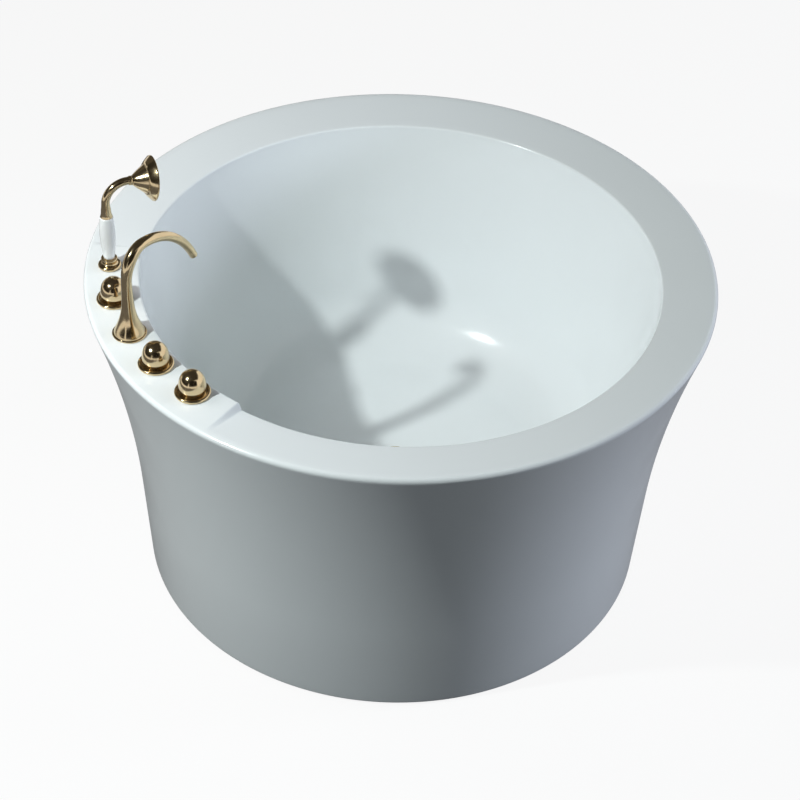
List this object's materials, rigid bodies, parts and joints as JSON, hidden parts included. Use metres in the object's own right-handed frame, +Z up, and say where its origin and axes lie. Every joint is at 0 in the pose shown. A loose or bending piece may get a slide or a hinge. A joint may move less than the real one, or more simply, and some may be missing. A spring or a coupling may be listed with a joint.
{
  "type": "freestanding soaking tub",
  "caption": "Round freestanding soaking tub with a flared skirt and a wide rim that carries deck taps: gold spout, egg-shaped knobs and a pull-out hand shower.",
  "frame": {"origin": "on the floor, under the middle of the round tub", "axes": "+Z up; the tap ledge is on the -X side and +X points from it across the water, with the spout turned 25 degrees from +X towards +Y; +Y runs from the knobs towards the hand shower"},
  "size_m": [1.2, 1.1996, 0.9017],
  "materials": {
    "shell_white": "glossy",
    "board_wood": "raw",
    "frame_steel": "satin",
    "zinc_steel": "satin",
    "pad_rubber": "matte",
    "seal_rubber": "matte",
    "trap_plastic": "satin",
    "gold_metal": "polished",
    "raw_brass": "machined",
    "handle_ceramic": "glossy",
    "cartridge_plastic": "satin"
  },
  "bodies": {
    "tub": {"basin_shell": "shell_white", "skirt_shell": "shell_white", "floor_board": "board_wood", "deck_board": "board_wood", "support_frame": "frame_steel", "frame_screws": "zinc_steel", "skirt_blocks": "board_wood", "foot_nuts": "zinc_steel", "waste_flange": "gold_metal", "waste_gasket": "seal_rubber", "waste_nut": "raw_brass", "plug_cartridge": "cartridge_plastic", "trap_nut": "trap_plastic", "trap_body": "trap_plastic", "trap_cup": "trap_plastic", "hot_cartridge": "cartridge_plastic", "hot_valve": "raw_brass", "hot_ring": "gold_metal", "cold_cartridge": "cartridge_plastic", "cold_valve": "raw_brass", "cold_ring": "gold_metal", "diverter_cartridge": "cartridge_plastic", "diverter_valve": "raw_brass", "diverter_ring": "gold_metal", "spout": "gold_metal", "spout_ring": "gold_metal", "spout_outlet": "cartridge_plastic", "spout_shank": "raw_brass", "deck_seals": "seal_rubber", "deck_washers": "zinc_steel", "deck_nuts": "raw_brass", "link_pipes": "raw_brass", "shower_holder": "gold_metal"},
    "hot_control": {"hot_knob": "gold_metal", "hot_screw": "zinc_steel", "hot_spindle": "raw_brass"},
    "cold_control": {"cold_knob": "gold_metal", "cold_screw": "zinc_steel", "cold_spindle": "raw_brass"},
    "diverter_control": {"diverter_knob": "gold_metal", "diverter_screw": "zinc_steel", "diverter_spindle": "raw_brass"},
    "plug": {"waste_plug": "gold_metal", "plug_seal": "seal_rubber", "plug_stem": "raw_brass"},
    "handset_end": {"handset_connector": "gold_metal"},
    "handset": {"handset_handle": "handle_ceramic", "handset_tube": "raw_brass", "handset_neck": "gold_metal", "shower_head": "gold_metal", "spray_plate": "gold_metal", "spray_nozzles": "seal_rubber"},
    "foot_1": {"foot_stud_1": "zinc_steel", "foot_pad_1": "pad_rubber"},
    "foot_2": {"foot_stud_2": "zinc_steel", "foot_pad_2": "pad_rubber"},
    "foot_3": {"foot_stud_3": "zinc_steel", "foot_pad_3": "pad_rubber"},
    "foot_4": {"foot_stud_4": "zinc_steel", "foot_pad_4": "pad_rubber"}
  },
  "joints": [
    {"name": "hot_turn", "type": "hinge", "parent": "tub", "child": "hot_control", "pos_m": [-0.49667, -0.19099, 0.68], "axis": [0, 0, 1], "range_deg": [0, 90]},
    {"name": "cold_turn", "type": "hinge", "parent": "tub", "child": "cold_control", "pos_m": [-0.52895, -0.09223, 0.68], "axis": [0, 0, 1], "range_deg": [-90, 0]},
    {"name": "diverter_turn", "type": "hinge", "parent": "tub", "child": "diverter_control", "pos_m": [-0.53472, 0.11452, 0.68], "axis": [0, 0, 1], "range_deg": [0, 90]},
    {"name": "handset_lift", "type": "slide", "parent": "tub", "child": "handset_end", "axis": [0, 0, 1], "range_m": [0, 0.16]},
    {"name": "handset_swivel", "type": "hinge", "parent": "handset_end", "child": "handset", "pos_m": [-0.50801, 0.21493, 0.68], "axis": [0, 0, 1], "range_deg": [-180, 180]},
    {"name": "plug_lift", "type": "slide", "parent": "tub", "child": "plug", "axis": [0, 0, 1], "range_m": [0, 0.008]},
    {"name": "foot_1_level", "type": "slide", "parent": "tub", "child": "foot_1", "axis": [0, 0, 1], "range_m": [-0.015, 0.004]},
    {"name": "foot_2_level", "type": "slide", "parent": "tub", "child": "foot_2", "axis": [0, 0, 1], "range_m": [-0.015, 0.004]},
    {"name": "foot_3_level", "type": "slide", "parent": "tub", "child": "foot_3", "axis": [0, 0, 1], "range_m": [-0.015, 0.004]},
    {"name": "foot_4_level", "type": "slide", "parent": "tub", "child": "foot_4", "axis": [0, 0, 1], "range_m": [-0.015, 0.004]}
  ]
}
